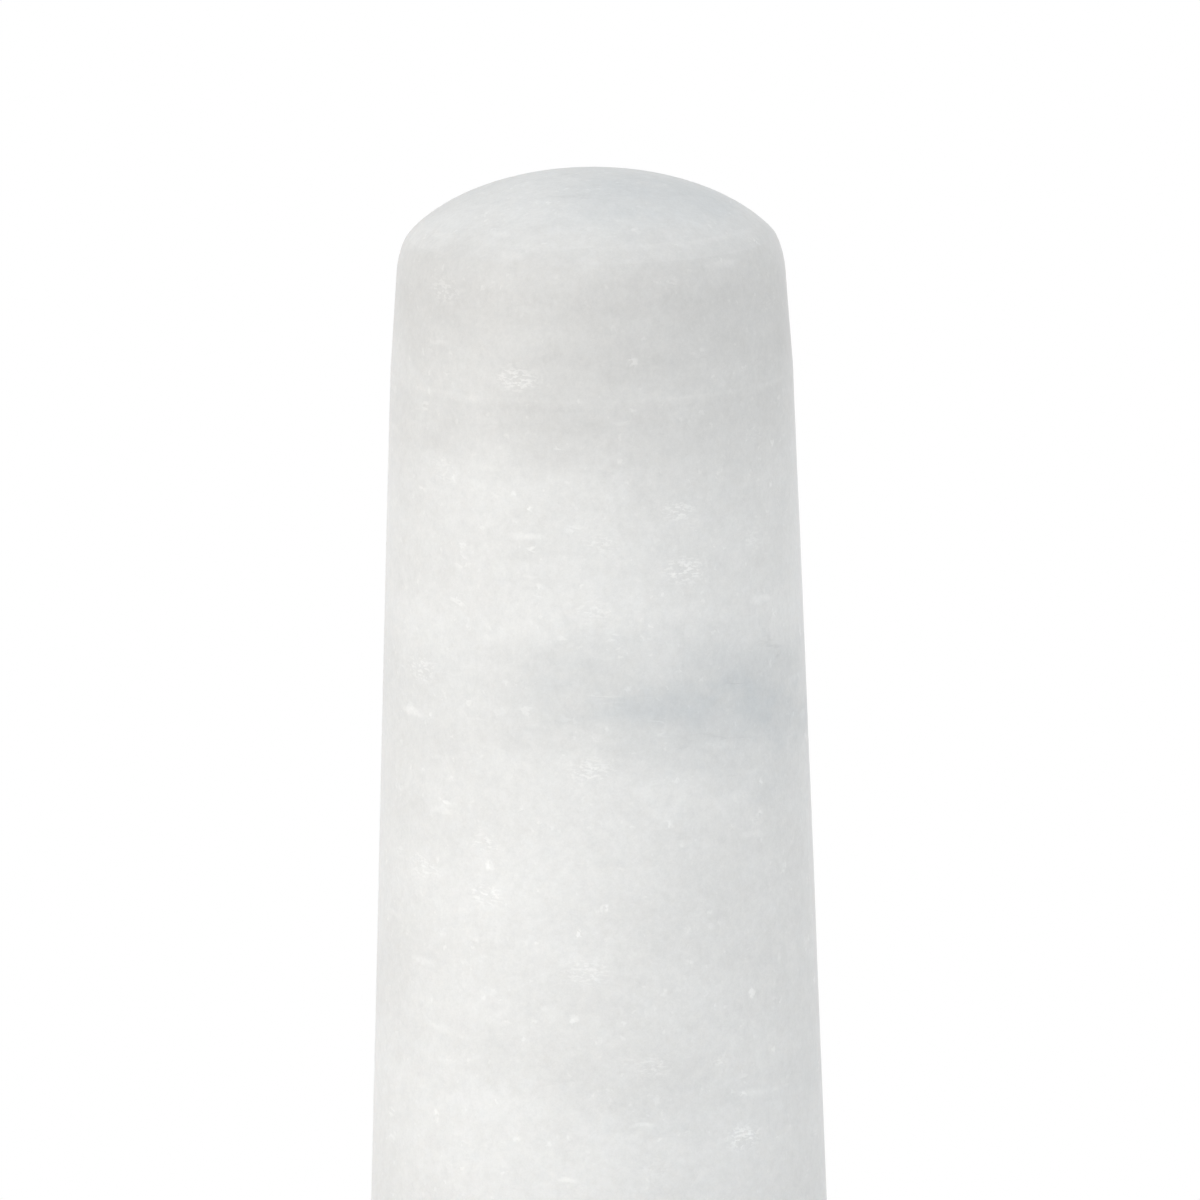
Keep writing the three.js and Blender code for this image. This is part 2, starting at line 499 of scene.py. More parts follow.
def pad_outline(shape, low, high, rim):
    """From the lower face's middle to the upper face's: two flats and an upright side, with a quarter of a
    circle at both edges."""
    edge = arc((rim - shape.edge_round, low + shape.edge_round), shape.edge_round, -QUARTER_TURN, 0.0,
               LOWER_ROUND_POINTS)
    top = arc((rim - shape.top_round, high - shape.top_round), shape.top_round, 0.0, QUARTER_TURN,
              UPPER_ROUND_POINTS)
    middle = rim / FACE_POINTS
    return joined(straight((middle, low), edge[0], FACE_POINTS), edge,
                  straight(edge[-1], top[0], SIDE_POINTS), top,
                  straight(top[-1], (middle, high), FACE_POINTS))


# Shader nodes

def add(tree, kind, inputs=None, **settings):
    """A new node with its settings, and with its inputs set to values or linked to other nodes' sockets."""
    made = tree.nodes.new(kind)
    for key, value in settings.items():
        setattr(made, key, value)
    for key, value in (inputs or {}).items():
        if isinstance(value, bpy.types.NodeSocket):
            tree.links.new(value, made.inputs[key])
        else:
            made.inputs[key].default_value = value
    return made


def maths(tree, operation, *values):
    """The result of a Math node on sockets or numbers."""
    return add(tree, "ShaderNodeMath", dict(enumerate(values)), operation=operation).outputs[0]


def ranged(tree, value, start, stop, low=0.0, high=1.0):
    """A value taken smoothly from start..stop to low..high, and held at the ends."""
    return add(tree, "ShaderNodeMapRange", {"Value": value, "From Min": start, "From Max": stop,
                                            "To Min": low, "To Max": high},
               interpolation_type="SMOOTHSTEP").outputs["Result"]


def noise(tree, vector, scale, detail=2.0, roughness=0.5):
    """The value of a Noise texture, about one half on average."""
    return add(tree, "ShaderNodeTexNoise", {"Vector": vector, "Scale": scale, "Detail": detail,
                                            "Roughness": roughness}).outputs["Fac"]


def swing(tree, value):
    """A value that is about one half on average, made to swing about nought."""
    return maths(tree, "SUBTRACT", value, 0.5)


def moved(tree, vector, rotation=(0.0, 0.0, 0.0), scale=(1.0, 1.0, 1.0)):
    """A vector through a Mapping node: scaled, then turned by degrees."""
    turn = tuple(math.radians(degrees) for degrees in rotation)
    return add(tree, "ShaderNodeMapping", {"Vector": vector, "Rotation": turn,
                                           "Scale": scale}).outputs["Vector"]


def flattened(tree, vector, times, tilt=0.0):
    """A vector that makes a pattern lower by a number of times, tilted about +Y by degrees."""
    return moved(tree, vector, rotation=(0.0, tilt, 0.0), scale=(1.0, 1.0, times))


# A Mix node's sockets for colours, by number because its sockets for other values have the same names
MIX_FACTOR = 0
MIX_COLOURS = (6, 7)
MIX_RESULT = 2


def mixed(tree, factor, *colours):
    """Two colours, as sockets or as red, green and blue, mixed by a factor."""
    inputs = {MIX_FACTOR: factor}
    for number, value in zip(MIX_COLOURS, colours):
        inputs[number] = value if isinstance(value, bpy.types.NodeSocket) else (*value, 1.0)
    return add(tree, "ShaderNodeMix", inputs, data_type="RGBA").outputs[MIX_RESULT]


def channels(tree, tint):
    """The red, green and blue of a colour."""
    return add(tree, "ShaderNodeSeparateColor", {"Color": tint}).outputs


def voronoi(tree, vector, scale, feature="F1"):
    """The outputs of a Voronoi texture."""
    return add(tree, "ShaderNodeTexVoronoi", {"Vector": vector, "Scale": scale}, feature=feature).outputs


def ramp(tree, value, stops):
    """A ColorRamp's value from stops of (place, grey), eased between them."""
    made = add(tree, "ShaderNodeValToRGB", {"Fac": value})
    made.color_ramp.interpolation = "EASE"
    elements = made.color_ramp.elements
    while len(elements) < len(stops):
        elements.new(0.5)
    for element, (place, grey) in zip(elements, stops):
        element.position = place
        element.color = (grey, grey, grey, 1.0)
    return channels(tree, made.outputs["Color"])["Red"]


def warped(tree, vector, scale, amount):
    """A vector pushed about by a Noise texture's colour, by up to the amount."""
    colours = add(tree, "ShaderNodeTexNoise", {"Vector": vector, "Scale": scale, "Detail": 2.0})
    return add(tree, "ShaderNodeVectorMath", {0: colours.outputs["Color"], 1: (amount, amount, amount),
                                              2: vector}, operation="MULTIPLY_ADD").outputs[0]


def dots(tree, vector, scale, keep, outer, inner):
    """Scattered dots: the middles of the cells of a Voronoi texture whose first random value is over keep.
    They are larger as that value rises, and brighter as a second one does. outer and inner are where the
    largest dots begin and are full, as shares of a cell."""
    cells = voronoi(tree, vector, scale)
    chance = channels(tree, cells["Color"])
    size = maths(tree, "MAXIMUM", ranged(tree, chance["Red"], keep, 1.0), 0.01)
    near = ranged(tree, maths(tree, "DIVIDE", cells["Distance"], size), outer, inner)
    return maths(tree, "MULTIPLY", near, ranged(tree, chance["Green"], 0.0, 1.0, low=0.3))


def facets(tree, vector, scale):
    """A random value for each cell of a Voronoi texture, as crystals show that face different ways."""
    return channels(tree, voronoi(tree, vector, scale)["Color"])["Red"]


def node_group(name, inputs, outputs):
    """A shader node group with its sockets, each given as a name and a kind, and its two end nodes."""
    tree = bpy.data.node_groups.new(name, "ShaderNodeTree")
    for label, kind in inputs.items():
        tree.interface.new_socket(label, in_out="INPUT", socket_type=f"NodeSocket{kind}")
    for label, kind in outputs.items():
        tree.interface.new_socket(label, in_out="OUTPUT", socket_type=f"NodeSocket{kind}")
    return tree, tree.nodes.new("NodeGroupInput").outputs, tree.nodes.new("NodeGroupOutput").inputs


# Marble, with the scales of its textures in cells a metre

def bedding_group():
    """Beds that the stone was laid down in: a height across the beds, bent by broad and fine noise, and a
    slow drift along them."""
    name = "Stone beds"
    if name in bpy.data.node_groups:
        return bpy.data.node_groups[name]
    tree, given, result = node_group(name, {"Vector": "Vector", "Bend": "Float"},
                                     {"Height": "Float", "Drift": "Float"})
    flat = flattened(tree, given["Vector"], 2.2)
    broad = swing(tree, noise(tree, flat, scale=30.0, detail=3.0))
    fine = swing(tree, noise(tree, flat, scale=170.0, detail=4.0, roughness=0.6))
    bend = maths(tree, "MULTIPLY_ADD", fine, 0.35, broad)
    upright = add(tree, "ShaderNodeSeparateXYZ", {"Vector": given["Vector"]}).outputs["Z"]
    height = maths(tree, "MULTIPLY_ADD", bend, given["Bend"], upright)
    tree.links.new(height, result["Height"])
    tree.links.new(noise(tree, flat, scale=46.0, detail=4.0, roughness=0.55), result["Drift"])
    return tree


def flake_mask(tree, vector, leaves):
    """Flakes in clusters, partly whiter crystal and partly painted glint of cleavage faces: fine leaves of
    a
    Noise texture that show only inside large dots.
    """
    clusters = dots(tree, flattened(tree, vector, 1.7), scale=150.0, keep=0.30, outer=0.42, inner=0.10)
    fine = noise(tree, leaves, scale=1900.0, roughness=0.6)
    return maths(tree, "MULTIPLY", clusters, ranged(tree, fine, 0.49, 0.58))


def chip_and_glint_mask(tree, vector, leaves):
    """Chips, partly whiter crystal and partly painted glint: dots that are broken up by the facets of flat
    crystals.
    """
    spots = dots(tree, flattened(tree, vector, 1.4), scale=330.0, keep=0.45, outer=0.40, inner=0.12)
    return maths(tree, "MULTIPLY", spots, ranged(tree, facets(tree, leaves, scale=1500.0), 0.5, 0.8))


def streak_mask(tree, vector):
    """Streaks along the beds, partly whiter crystal and partly painted glint: dots drawn out sideways, with
    ragged edges.
    """
    drawn = flattened(tree, warped(tree, vector, scale=900.0, amount=0.0008), 5.0, tilt=5.0)
    return dots(tree, drawn, scale=130.0, keep=0.40, outer=0.32, inner=0.08)


def crack_mask(tree, vector, vein):
    """Hair cracks in the veins: the edges of bent, flat Voronoi cells, where a noise lets them show."""
    bent = warped(tree, flattened(tree, vector, 4.5, tilt=8.0), scale=260.0, amount=0.006)
    edges = voronoi(tree, bent, scale=60.0, feature="DISTANCE_TO_EDGE")["Distance"]
    broken = ranged(tree, noise(tree, vector, scale=190.0), 0.50, 0.62)
    crack = maths(tree, "MULTIPLY", ranged(tree, edges, 0.03, 0.0), broken)
    return maths(tree, "MULTIPLY", crack, ranged(tree, vein, 0.05, 0.3))


def marble_group():
    """White marble close to: sugary grain, bright crystals, flakes in clusters, chips, streaks along the
    beds and cracks in the veins, laid over light, clouded and veined stone. The bright crystals, flakes,
    chips and streaks are partly whiter crystal and partly painted glint of cleavage faces. The cloud input
    holds some painted light on the pestle. The bruise input brightens or darkens the colour, and carries a
    painted highlight and painted shade from the pestle. Height is for a bump, and Roughness goes from
    polished to honed."""
    name = "Marble"
    if name in bpy.data.node_groups:
        return bpy.data.node_groups[name]
    tree, given, result = node_group(
        name,
        {"Vector": "Vector", "Cloud And Painted Light": "Float", "Vein": "Float", "Bruise And Painted Light": "Float", "Honed": "Float",
         "Light Stone": "Color", "Clouded Stone": "Color", "Vein Stone": "Color", "Polished": "Float",
         "Rough": "Float"},
        {"Colour": "Color", "Roughness": "Float", "Polish": "Float", "Height": "Float"})
    vector = given["Vector"]

    grain = swing(tree, noise(tree, vector, scale=800.0, detail=4.0, roughness=1.0))
    mottle = swing(tree, noise(tree, flattened(tree, vector, 1.6), scale=210.0, detail=3.0))
    crystals = facets(tree, vector, scale=2600.0)
    ragged = warped(tree, vector, scale=1900.0, amount=0.0010)
    large = dots(tree, ragged, scale=420.0, keep=0.35, outer=0.24, inner=0.08)
    large = maths(tree, "MULTIPLY", large, ranged(tree, crystals, 0.2, 0.7))
    small = dots(tree, ragged, scale=1250.0, keep=0.25, outer=0.36, inner=0.12)
    leaves = flattened(tree, vector, 2.6, tilt=6.0)
    crack = crack_mask(tree, vector, given["Vein"])
    dark_or_pale = noise(tree, vector, scale=70.0, detail=1.0)
    crack_shade = ranged(tree, dark_or_pale, 0.46, 0.54, low=-0.10, high=0.09)
    # Bruise brightness, broken into patches: lighter stone along the bowl's groove, and on the pestle a
    # painted highlight, painted shade and a painted lighter outer dome
    worn_and_painted_light = ranged(tree, noise(tree, vector, scale=160.0), 0.36, 0.60, low=0.35)
    worn_and_painted_light = maths(tree, "MULTIPLY", given["Bruise And Painted Light"], worn_and_painted_light)

    # How much each mark lightens the stone. Bright crystals, flakes, chips and streaks are partly whiter
    # crystal and partly painted glint; the bruise term is painted highlight and painted shade on the pestle
    shade = 0.99
    brightness = (
        (grain, 0.26), (crystals, 0.02), (mottle, 0.05), (large, 0.15), (small, 0.08),
        (flake_mask(tree, vector, leaves), 0.15), (chip_and_glint_mask(tree, vector, leaves), 0.10),
        (streak_mask(tree, vector), 0.09), (crack, crack_shade), (worn_and_painted_light, 0.032))
    for feature, amount in brightness:
        shade = maths(tree, "MULTIPLY_ADD", feature, amount, shade)
    stone = mixed(tree, given["Cloud And Painted Light"], given["Light Stone"], given["Clouded Stone"])
    stone = mixed(tree, given["Vein"], stone, given["Vein Stone"])
    stone = add(tree, "ShaderNodeVectorMath", {0: stone, "Scale": shade}, operation="SCALE").outputs[0]
    tree.links.new(stone, result["Colour"])

    finish = maths(tree, "SUBTRACT", given["Rough"], given["Polished"])
    finish = maths(tree, "MULTIPLY_ADD", finish, given["Honed"], given["Polished"])
    finish = maths(tree, "MULTIPLY_ADD", mottle, 0.10, finish)
    tree.links.new(finish, result["Roughness"])
    tree.links.new(maths(tree, "MULTIPLY_ADD", given["Honed"], -1.0, 1.0), result["Polish"])

    grain_depth = maths(tree, "MULTIPLY_ADD", given["Honed"], 0.8, 0.2)
    crack_depth = maths(tree, "MULTIPLY", crack, -0.4)
    tree.links.new(maths(tree, "MULTIPLY_ADD", grain, grain_depth, crack_depth), result["Height"])
    return tree


# Materials

def new_material(name):
    """An empty node material and its output node."""
    material = bpy.data.materials.new(name)
    material.use_nodes = True
    tree = material.node_tree
    tree.nodes.clear()
    return material, tree, tree.nodes.new("ShaderNodeOutputMaterial")


# How far drift along a bed changes its clouds and shifts its veins, and where veins fade in on their side
CLOUD_DRIFT = 0.9
VEIN_DRIFT = 50.0 * MM
VEIN_FADE = (-4.0 * MM, 18.0 * MM)


def stone_material(name, look, rotation, bend, span, clouds_and_painted_light, veins, vein_side):
    """Marble cut across its beds. rotation tilts the beds, span gives the heights that the clouds, with any
    painted light in them, and the veins start and end at, each a list of (place, strength) along it, and
    vein_side the direction where veins show most."""
    material, tree, output = new_material(name)
    vector = add(tree, "ShaderNodeTexCoord").outputs["Object"]
    tilted = moved(tree, vector, rotation=rotation)
    beds = add(tree, "ShaderNodeGroup", {"Vector": tilted, "Bend": bend}, node_tree=bedding_group()).outputs
    place = add(tree, "ShaderNodeMapRange", {"Value": beds["Height"], "From Min": span[0],
                                             "From Max": span[1]}).outputs["Result"]
    drift = swing(tree, beds["Drift"])

    # How clouded the stone is: real clouding, and on the pestle also painted light, lighter low on the
    # shaft and on the dome
    cloud_and_painted_light = maths(tree, "MULTIPLY_ADD", drift, CLOUD_DRIFT, ramp(tree, place, clouds_and_painted_light))
    cloud_and_painted_light = add(tree, "ShaderNodeClamp", {"Value": cloud_and_painted_light}).outputs[0]
    side = add(tree, "ShaderNodeVectorMath", {0: vector, 1: vein_side}, operation="DOT_PRODUCT")
    side = maths(tree, "MULTIPLY_ADD", drift, VEIN_DRIFT, side.outputs["Value"])
    patches = noise(tree, flattened(tree, tilted, 1.8), scale=150.0, detail=4.0, roughness=0.6)
    strength = maths(tree, "MULTIPLY", ranged(tree, side, *VEIN_FADE, low=0.15),
                     ranged(tree, patches, 0.30, 0.62, low=0.4))
    vein = maths(tree, "MULTIPLY", ramp(tree, place, veins), strength)

    # Attributes from the pieces: honed for roughness, and bruise, which is lighter stone along the bowl's
    # groove and painted highlight, painted shade and a painted lighter dome on the pestle
    honed = add(tree, "ShaderNodeAttribute", attribute_name="honed").outputs["Fac"]
    bruise_and_painted_light = add(tree, "ShaderNodeAttribute", attribute_name="bruise_and_painted_light").outputs["Fac"]
    marble = add(tree, "ShaderNodeGroup", {
        "Vector": tilted, "Cloud And Painted Light": cloud_and_painted_light, "Vein": vein, "Bruise And Painted Light": bruise_and_painted_light, "Honed": honed,
        "Light Stone": (*look.light, 1.0), "Clouded Stone": (*look.cloud_and_painted_light, 1.0),
        "Vein Stone": (*look.vein, 1.0), "Polished": look.polished, "Rough": look.honed},
        node_tree=marble_group()).outputs

    relief = add(tree, "ShaderNodeBump", {"Height": marble["Height"], "Strength": 0.35,
                                          "Distance": 0.02 * MM})
    shader = add(tree, "ShaderNodeBsdfPrincipled", {
        "Base Color": marble["Colour"], "Roughness": marble["Roughness"],
        "Coat Weight": maths(tree, "MULTIPLY", marble["Polish"], look.polish),
        "Coat Roughness": look.polish_roughness, "Coat IOR": 1.5,
        "Normal": relief.outputs["Normal"], "IOR": 1.49, "Specular IOR Level": 0.1,
        "Subsurface Weight": 0.35, "Subsurface Radius": (1.0, 0.9, 0.8),
        "Subsurface Scale": look.glow_depth})
    tree.links.new(shader.outputs["BSDF"], output.inputs["Surface"])
    return material


# How dark and how pale the rubber's spots get, in its own colour
RUBBER_DARK = 0.75
RUBBER_PALE = 1.35


def rubber_material(name, look):
    """Matte foam rubber: a fine mottle in colour and roughness, and a pebbled bump."""
    material, tree, output = new_material(name)
    vector = add(tree, "ShaderNodeTexCoord").outputs["Object"]
    speckle = noise(tree, vector, scale=2600.0, detail=3.0, roughness=0.7)
    cells = voronoi(tree, vector, scale=3200.0)["Distance"]
    dark = tuple(RUBBER_DARK * channel for channel in look.rubber)
    pale = tuple(RUBBER_PALE * channel for channel in look.rubber)
    tint = mixed(tree, ranged(tree, speckle, 0.3, 0.7), dark, pale)
    relief = add(tree, "ShaderNodeBump", {"Height": cells, "Strength": 0.5, "Distance": 0.05 * MM})
    shader = add(tree, "ShaderNodeBsdfPrincipled", {
        "Base Color": tint, "Roughness": ranged(tree, speckle, 0.3, 0.7, low=0.72, high=0.9),
        "Normal": relief.outputs["Normal"], "Specular IOR Level": 0.35})
    tree.links.new(shader.outputs["BSDF"], output.inputs["Surface"])
    return material


def seen_rays(tree):
    """One for rays from the camera, from reflections and through glass, and nought for the rest."""
    path = add(tree, "ShaderNodeLightPath").outputs
    glossy = maths(tree, "MAXIMUM", path["Is Camera Ray"], path["Is Glossy Ray"])
    return maths(tree, "MAXIMUM", glossy, path["Is Transmission Ray"])


# Both stones: how their beds tilt in degrees and how far they bend, the side where veins show most, and
# clouds and veins across the beds, each as places along the span and how strongly they show there. The
# pestle's span is its own height. On the pestle the clouds also hold painted light: none low on the
# shaft, which paints it lighter against the bowl's shade, and a steep fall across the dome's edge, which
# paints the dome lighter than the shoulder for the light from above.
PESTLE_STONE = {
    "rotation": (0.0, -3.0, 0.0),
    "bend": 14.0 * MM,
    "vein_side": (0.9, -0.3, 0.0),
    "clouds_and_painted_light": [
        # Nought from 0.42 to 0.51 is painted light against the bowl's shade; the fall from 0.964 to 0.985
        # paints the dome lighter for the light from above
        (0.0, 0.25), (0.10, 0.05), (0.19, 0.22), (0.24, 0.65), (0.30, 0.20), (0.42, 0.0), (0.51, 0.0),
        (0.57, 0.27), (0.635, 0.24), (0.69, 0.36), (0.72, 0.48), (0.745, 0.5), (0.775, 0.34), (0.81, 0.34),
        (0.845, 0.4), (0.89, 0.72), (0.93, 1.0), (0.955, 0.95), (0.964, 0.9), (0.97, 0.75), (0.978, 0.56),
        (0.985, 0.46), (1.0, 0.42)],
    "veins": [
        (0.0, 0.0), (0.22, 0.0), (0.24, 0.7), (0.27, 0.0), (0.50, 0.0), (0.53, 0.15), (0.56, 0.0),
        (0.685, 0.0), (0.715, 0.4), (0.74, 1.0), (0.76, 0.45), (0.79, 0.0), (0.968, 0.0), (0.985, 0.58),
        (1.0, 0.58)],
}
BOWL_STONE = {
    "rotation": (14.0, 24.0, 0.0),
    "bend": 20.0 * MM,
    "span": (-45.0 * MM, 115.0 * MM),
    "vein_side": (0.2, -0.2, 0.1),
    "clouds_and_painted_light": [
        (0.0, 0.3), (0.12, 0.75), (0.2, 0.2), (0.33, 0.05), (0.45, 0.35), (0.52, 0.1), (0.66, 0.02),
        (0.75, 0.5), (0.82, 0.15), (0.92, 0.05), (1.0, 0.4)],
    "veins": [
        (0.0, 0.0), (0.09, 0.0), (0.12, 0.8), (0.15, 0.0), (0.42, 0.0), (0.455, 0.9), (0.48, 0.0),
        (0.72, 0.0), (0.75, 0.6), (0.78, 0.0), (1.0, 0.0)],
}

# Where the working end has become polished, in head heights, and the crown starts to dull, in crown rises
HEAD_HONED = 1.8
CROWN_DULLED = 1.4

# Where the bowl's lip becomes honed, in points of its outline from the start of the hollow, and the height
# at which its underside's hone ends
LIP_HONED = (-4, 10)
UNDERSIDE_HONED = 1.0 * MM


# Operators

class WareOperator:
    """What the operators share"""

    bl_options = {"REGISTER", "UNDO"}


class GRINDING_BOWL_OT_pestle(WareOperator, bpy.types.Operator):
    """Turn the pestle and give it its marble"""

    bl_idname = "grinding_bowl.pestle"
    bl_label = "Pestle"

    def execute(self, context):
        settings = context.scene.grinding_bowl
        shape = settings.pestle
        low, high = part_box("pestle")
        outline, radius, height, bruise_and_painted_light = pestle_surface(shape, low[2], high[2], (high[0] - low[0]) / 2)
        heights = outline[:, 1]
        head_top = low[2] + shape.head_height
        honed = 1.0 - eased(heights, head_top, low[2] + HEAD_HONED * shape.head_height)
        honed = np.maximum(honed, eased(heights, high[2] - CROWN_DULLED * shape.crown_rise, high[2]))
        ends = (low[2], high[2])
        # The pestle's bruise attribute is painted light: a painted highlight and painted shade at the
        # turned line and a painted lighter outer dome
        piece = turned_piece("turned_pestle", radius, height, ends, {"honed": honed, "bruise_and_painted_light": bruise_and_painted_light})
        stone = stone_material("pestle_stone", settings.stone, span=ends, **PESTLE_STONE)
        piece.data.materials.append(stone)
        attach(piece, "pestle")
        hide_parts("pestle")
        return {"FINISHED"}


class GRINDING_BOWL_OT_bowl(WareOperator, bpy.types.Operator):
    """Turn the bowl and give it its marble"""

    bl_idname = "grinding_bowl.bowl"
    bl_label = "Bowl"

    def execute(self, context):
        settings = context.scene.grinding_bowl
        shape = settings.bowl
        low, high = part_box("bowl")
        rim_radius = (high[0] - low[0]) / 2
        outline, outside, radius, height, bruise_and_painted_light = bowl_surface(shape, low[2], high[2], rim_radius)
        floor = low[2] + shape.floor_thickness
        past = np.arange(len(outline)) - outside
        underside = 1.0 - eased(outline[:, 1], low[2], low[2] + UNDERSIDE_HONED)
        honed = np.maximum(eased(past, *LIP_HONED), underside * (past < 0))
        ends = (low[2], floor)
        piece = turned_piece("turned_bowl", radius, height, ends, {"honed": honed, "bruise_and_painted_light": bruise_and_painted_light})
        piece.data.materials.append(stone_material("bowl_stone", settings.stone, **BOWL_STONE))
        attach(piece, "bowl")
        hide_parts("bowl")
        return {"FINISHED"}


class GRINDING_BOWL_OT_pads(WareOperator, bpy.types.Operator):
    """Cut the rubber foot pads"""

    bl_idname = "grinding_bowl.pads"
    bl_label = "Foot Pads"

    def execute(self, context):
        settings = context.scene.grinding_bowl
        rubber = rubber_material("pad_foam", settings.stone)
        for node in PAD_NODES:
            low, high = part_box(node)
            middle = (low + high) / 2
            outline = pad_outline(settings.pads, low[2], high[2], (high[0] - low[0]) / 2)
            radius, height = turned(outline, PAD_SPOKES)
            piece = turned_piece(f"cut_{node}", radius, height, (low[2], high[2]), {})
            piece.data.transform(Matrix.Translation((middle[0], middle[1], 0.0)))
            piece.data.materials.append(rubber)
            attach(piece, "bowl")
            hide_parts(node)
        return {"FINISHED"}


# Parts of the sky, as bounds of a direction's X to the right, Y away from the camera or Z up
FRONT_FADE = (0.1, 0.35)
BACK_FADE = (0.8, 0.97)
OVER_FADE = (0.25, 0.8)
RIGHT_FADE = (0.6, 1.0)
TOP_FADE = (0.1, 0.9)

# The floor's rings and first ring, its edge past where it is white, and where it starts to fade, in radii
FLOOR_RINGS = 12
FLOOR_FIRST = 0.02
FLOOR_EDGE = 1.1
FLOOR_FADE = 0.25
WHITE = (1.0, 1.0, 1.0, 1.0)


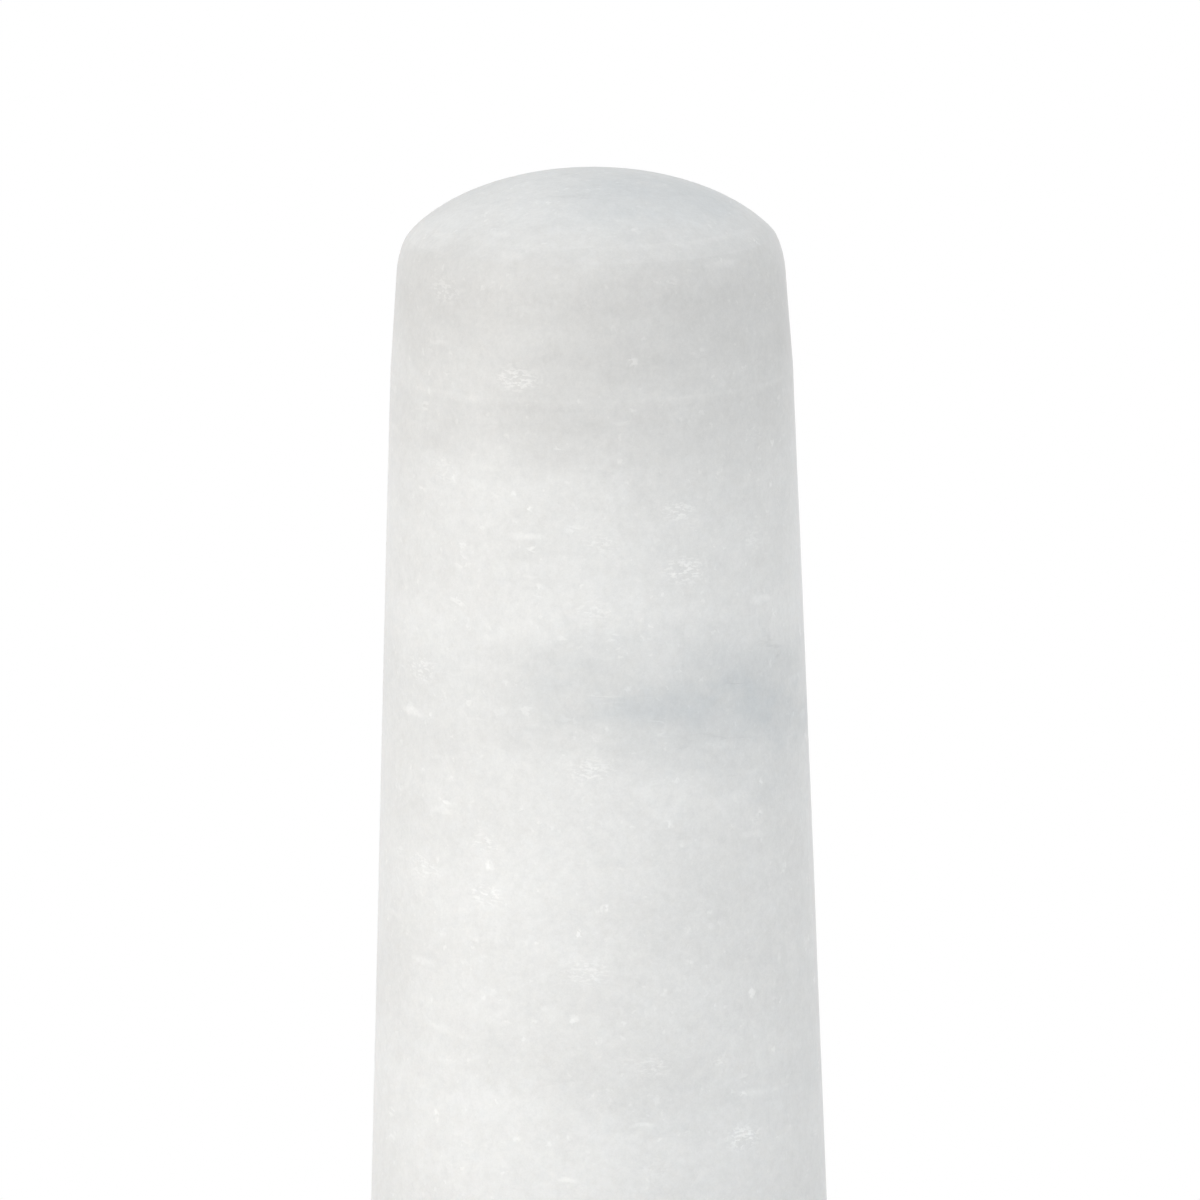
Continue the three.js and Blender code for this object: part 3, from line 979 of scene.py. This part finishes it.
class GRINDING_BOWL_OT_stage(WareOperator, bpy.types.Operator):
    """Set the camera, the soft light and a pale floor"""

    bl_idname = "grinding_bowl.stage"
    bl_label = "Stage"

    def execute(self, context):
        look = context.scene.grinding_bowl.stage
        context.scene.view_settings.view_transform = "Standard"
        self.set_camera(context, look)
        self.set_world(context, look)
        self.set_key(context, look)
        self.set_floor(context, look)
        return {"FINISHED"}

    def set_camera(self, context, look):
        """A long lens, level with the pestle's upper half and a little above it."""
        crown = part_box("pestle")[1][2]
        target = Vector((look.view_aside, 0.0, crown - look.view_drop))
        back = Vector((0.0, -math.cos(look.view_elevation), math.sin(look.view_elevation)))
        data = bpy.data.cameras.new("camera")
        data.lens = data.sensor_width * look.view_distance / look.view_width
        camera = bpy.data.objects.new("camera", data)
        context.collection.objects.link(camera)
        upright = back.to_track_quat("Z", "Y").to_matrix().to_4x4()
        camera.matrix_world = (Matrix.Translation(target + back * look.view_distance) @ upright
                               @ Matrix.Rotation(look.view_roll, 4, "Z"))
        context.scene.camera = camera

    def set_world(self, context, look):
        """White to the eye and in reflections, and soft light that is stronger from the camera's side."""
        world = bpy.data.worlds.new("studio")
        world.use_nodes = True
        tree = world.node_tree
        tree.nodes.clear()
        direction = add(tree, "ShaderNodeTexCoord").outputs["Generated"]
        parts = add(tree, "ShaderNodeSeparateXYZ", {"Vector": direction}).outputs
        front = ranged(tree, parts["Y"], *FRONT_FADE, look.ambient_front, look.ambient_side)
        behind = ranged(tree, parts["Y"], *BACK_FADE, 0.0, look.ambient_back - look.ambient_side)
        round_about = maths(tree, "ADD", front, behind)
        over = ranged(tree, parts["Z"], *OVER_FADE)
        more = maths(tree, "SUBTRACT", look.ambient_over, round_about)
        strength = maths(tree, "MULTIPLY_ADD", over, more, round_about)
        tint = mixed(tree, ranged(tree, parts["X"], *RIGHT_FADE), look.ambient, look.ambient_right)
        tint = mixed(tree, ranged(tree, parts["Z"], *TOP_FADE), tint, look.ambient_top)
        soft = add(tree, "ShaderNodeBackground", {"Color": tint, "Strength": strength}).outputs[0]
        white = add(tree, "ShaderNodeBackground", {"Color": WHITE, "Strength": 1.0}).outputs[0]
        blend = add(tree, "ShaderNodeMixShader", {0: seen_rays(tree), 1: soft, 2: white})
        output = add(tree, "ShaderNodeOutputWorld")
        tree.links.new(blend.outputs[0], output.inputs["Surface"])
        context.scene.world = world

    def set_key(self, context, look):
        """One tall soft box in front on the left."""
        data = bpy.data.lights.new("soft_box", "AREA")
        data.shape = "RECTANGLE"
        data.size = look.key_width
        data.size_y = look.key_length
        data.energy = look.key_power
        data.color = look.key
        lamp = bpy.data.objects.new("soft_box", data)
        context.collection.objects.link(lamp)
        aim = Vector((0.0, 0.0, look.key_height))
        away = Vector((-math.sin(look.key_azimuth), -math.cos(look.key_azimuth), 0.0))
        lamp.matrix_world = (Matrix.Translation(aim + away * look.key_distance)
                             @ away.to_track_quat("Z", "Y").to_matrix().to_4x4())

    def set_floor(self, context, look):
        """A flat disc of rings round a middle facet. Its colour fades to white before its edge, and it
        keeps the object's shadow."""
        rings = np.linspace(FLOOR_FIRST, 1.0, FLOOR_RINGS)[:, None] * look.floor_radius * FLOOR_EDGE
        radius = np.repeat(rings, look.floor_spokes, axis=1)
        points = ring_points(radius, np.full_like(radius, -look.floor_drop))
        index = np.arange(radius.size).reshape(radius.shape)
        after = np.roll(index, -1, axis=1)
        quads = np.stack([index[:-1], index[1:], after[1:], after[:-1]], axis=-1).reshape(-1, 4)
        mesh = bpy.data.meshes.new("floor")
        mesh.from_pydata(points, [], [*quads.tolist(), index[0].tolist()])
        floor = bpy.data.objects.new("floor", mesh)
        context.collection.objects.link(floor)

        material, tree, output = new_material("floor")
        place = add(tree, "ShaderNodeTexCoord").outputs["Object"]
        distance = add(tree, "ShaderNodeVectorMath", {0: place}, operation="LENGTH").outputs["Value"]
        fade = ranged(tree, distance, FLOOR_FADE * look.floor_radius, look.floor_radius)
        factor = maths(tree, "MULTIPLY", fade, seen_rays(tree))
        plain = add(tree, "ShaderNodeBsdfDiffuse", {"Color": (*look.floor, 1.0)}).outputs[0]
        white = add(tree, "ShaderNodeEmission", {"Color": WHITE, "Strength": 1.0}).outputs[0]
        blend = add(tree, "ShaderNodeMixShader", {0: factor, 1: plain, 2: white})
        tree.links.new(blend.outputs[0], output.inputs["Surface"])
        mesh.materials.append(material)


# Panel

STEPS = (
    (GRINDING_BOWL_OT_stage, "stage"),
    (GRINDING_BOWL_OT_bowl, "bowl"),
    (GRINDING_BOWL_OT_pestle, "pestle"),
    (GRINDING_BOWL_OT_pads, "pads"),
)


class GRINDING_BOWL_PT_ware(bpy.types.Panel):
    """The bowl and pestle's settings and steps"""

    bl_label = "Grinding Bowl"
    bl_idname = "GRINDING_BOWL_PT_ware"
    bl_space_type = "VIEW_3D"
    bl_region_type = "UI"
    bl_category = "Stone Ware"

    def draw(self, context):
        settings = context.scene.grinding_bowl
        for operator, group in STEPS:
            box = self.layout.box()
            box.operator(operator.bl_idname)
            self.list_settings(box, getattr(settings, group))
        self.list_settings(self.layout.box(), settings.stone)

    def list_settings(self, box, group):
        """A row for each setting of a group."""
        for label in group.__annotations__:
            box.prop(group, label)


CLASSES = (PestleShape, BowlShape, PadShape, StoneLook, StageLook, WareSettings,
           *(operator for operator, _ in STEPS), GRINDING_BOWL_PT_ware)


def register():
    """Give Blender the settings, the operators and the panel."""
    for cls in CLASSES:
        bpy.utils.register_class(cls)
    bpy.types.Scene.grinding_bowl = PointerProperty(type=WareSettings)


def unregister():
    """Take them out again."""
    del bpy.types.Scene.grinding_bowl
    for cls in reversed(CLASSES):
        bpy.utils.unregister_class(cls)


def main():
    register()
    bpy.ops.grinding_bowl.stage()
    bpy.ops.grinding_bowl.bowl()
    bpy.ops.grinding_bowl.pestle()
    bpy.ops.grinding_bowl.pads()


if __name__ == "__main__":
    main()
